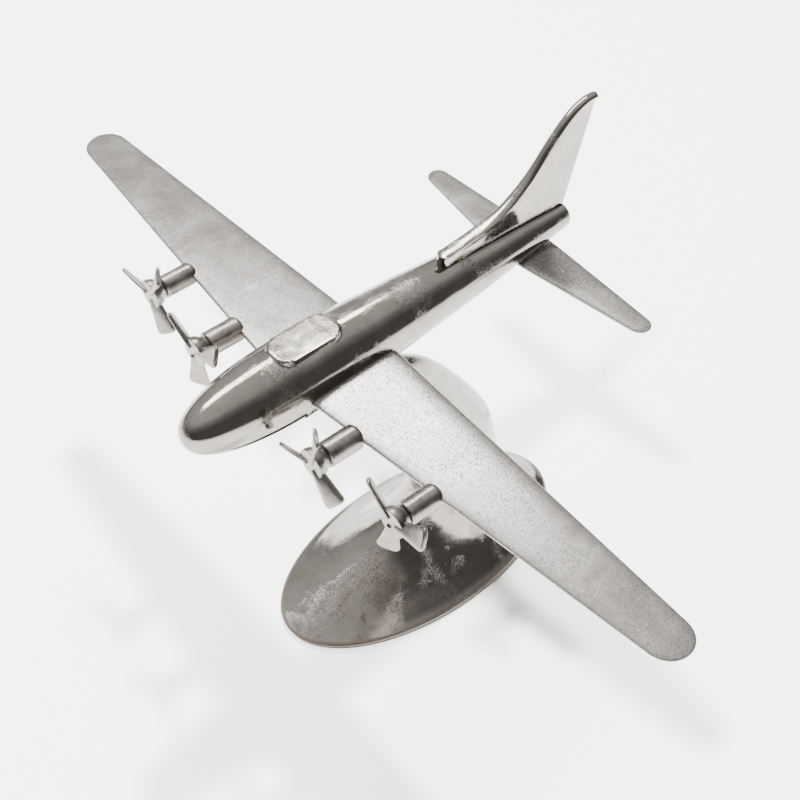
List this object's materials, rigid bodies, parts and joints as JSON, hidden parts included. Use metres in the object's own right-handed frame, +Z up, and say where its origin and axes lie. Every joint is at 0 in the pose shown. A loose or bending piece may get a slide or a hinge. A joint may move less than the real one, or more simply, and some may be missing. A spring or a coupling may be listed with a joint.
{
  "type": "desktop airliner model",
  "caption": "Cast metal desktop aircraft with tapered wings, tail surfaces, engine nacelles and free-spinning propellers, held above an oval foot by a swept pylon.",
  "frame": {"origin": "centre of the oval foot's underside, on the felt", "axes": "+Z up, nose towards -Y, the aircraft's left wing towards +X"},
  "size_m": [0.5, 0.2895, 0.3175],
  "materials": {
    "polished_alloy": "polished, finely pitted",
    "satin_alloy": "brushed satin with scuffs",
    "cast_alloy": "as cast, lightly polished",
    "steel": "bright drawn",
    "felt": "pressed felt"
  },
  "bodies": {
    "airframe": {"base_casting": "polished_alloy", "base_felt": "felt", "belly_stud": "steel", "fuselage": "polished_alloy", "wing_left": "satin_alloy", "wing_right": "satin_alloy", "wing_dowel_front": "steel", "wing_dowel_rear": "steel", "fin": "polished_alloy", "fin_pin_front": "steel", "fin_pin_rear": "steel", "tailplane_left": "satin_alloy", "tailplane_right": "satin_alloy", "tailplane_dowel": "steel", "nacelle_left_inner": "cast_alloy", "propeller_pin_left_inner": "steel", "nacelle_left_outer": "cast_alloy", "propeller_pin_left_outer": "steel", "nacelle_right_inner": "cast_alloy", "propeller_pin_right_inner": "steel", "nacelle_right_outer": "cast_alloy", "propeller_pin_right_outer": "steel"},
    "left_inner_propeller": {"propeller_left_inner": "cast_alloy"},
    "left_outer_propeller": {"propeller_left_outer": "cast_alloy"},
    "right_inner_propeller": {"propeller_right_inner": "cast_alloy"},
    "right_outer_propeller": {"propeller_right_outer": "cast_alloy"}
  },
  "joints": [
    {"name": "left_inner_spin", "type": "hinge", "parent": "airframe", "child": "left_inner_propeller", "pos_m": [0.0514, -0.121, 0.2314], "axis": [0, 1, 0], "continuous": true},
    {"name": "left_outer_spin", "type": "hinge", "parent": "airframe", "child": "left_outer_propeller", "pos_m": [0.1058, -0.1135, 0.2304], "axis": [0, 1, 0], "continuous": true},
    {"name": "right_inner_spin", "type": "hinge", "parent": "airframe", "child": "right_inner_propeller", "pos_m": [-0.0514, -0.121, 0.2314], "axis": [0, 1, 0], "continuous": true},
    {"name": "right_outer_spin", "type": "hinge", "parent": "airframe", "child": "right_outer_propeller", "pos_m": [-0.1058, -0.1135, 0.2304], "axis": [0, 1, 0], "continuous": true}
  ]
}
